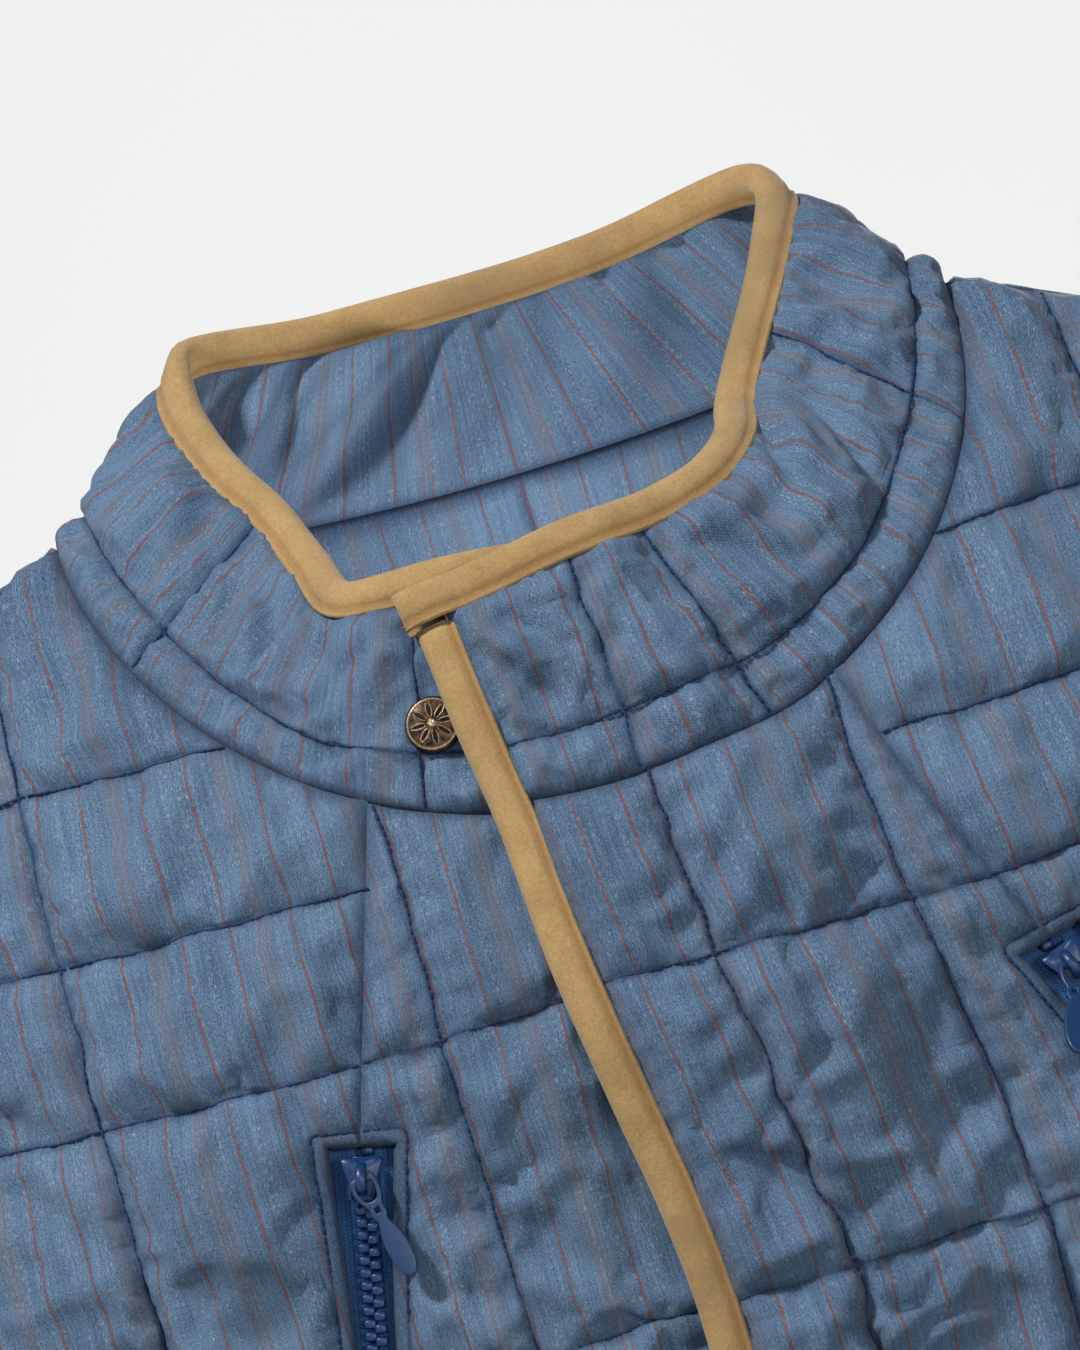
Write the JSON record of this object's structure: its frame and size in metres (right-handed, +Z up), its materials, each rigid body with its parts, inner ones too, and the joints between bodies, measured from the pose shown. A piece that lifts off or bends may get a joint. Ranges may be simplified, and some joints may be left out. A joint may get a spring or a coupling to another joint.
{
  "type": "padded vest",
  "caption": "Sleeveless quilted vest with a stand collar, bound edges, an overlapping front, slanted zip pockets and a collar button, filled out as if worn.",
  "frame": {"origin": "midway between the two side neck points, where the vest hangs on the wearer's shoulders", "axes": "+Z up, -Y the way the wearer faces, +X the wearer's left"},
  "size_m": [0.5198, 0.2617, 0.6822],
  "materials": {
    "quilted_cloth": "woven striped cotton, quilted, soft and dull",
    "binding": "brushed yellow binding",
    "zip_tape": "woven navy tape",
    "zip_plastic": "moulded navy plastic, half gloss",
    "button_metal": "dark antique bronze"
  },
  "bodies": {
    "vest": {"back": "quilted_cloth", "left_front_inner": "quilted_cloth", "left_front_outer": "quilted_cloth", "right_front_inner": "quilted_cloth", "right_front_outer": "quilted_cloth", "collar": "quilted_cloth", "collar_binding": "binding", "left_front_binding": "binding", "right_front_binding": "binding", "hem_binding": "binding", "left_armhole_binding": "binding", "right_armhole_binding": "binding", "left_zip": "zip_tape", "right_zip": "zip_tape", "left_zip_slider": "zip_plastic", "right_zip_slider": "zip_plastic", "button": "button_metal"},
    "left_pull": {"left_zip_pull": "zip_plastic"},
    "right_pull": {"right_zip_pull": "zip_plastic"}
  },
  "joints": [
    {"name": "left_pull_swing", "type": "hinge", "parent": "vest", "child": "left_pull", "pos_m": [0.08893, -0.1031, -0.15365], "axis": [-0.9219, -0.0557, 0.3834], "range_deg": [-26, 95]},
    {"name": "right_pull_swing", "type": "hinge", "parent": "vest", "child": "right_pull", "pos_m": [-0.08199, -0.10384, -0.15367], "axis": [-0.9642, 0.063, -0.2577], "range_deg": [-3, 120]}
  ]
}
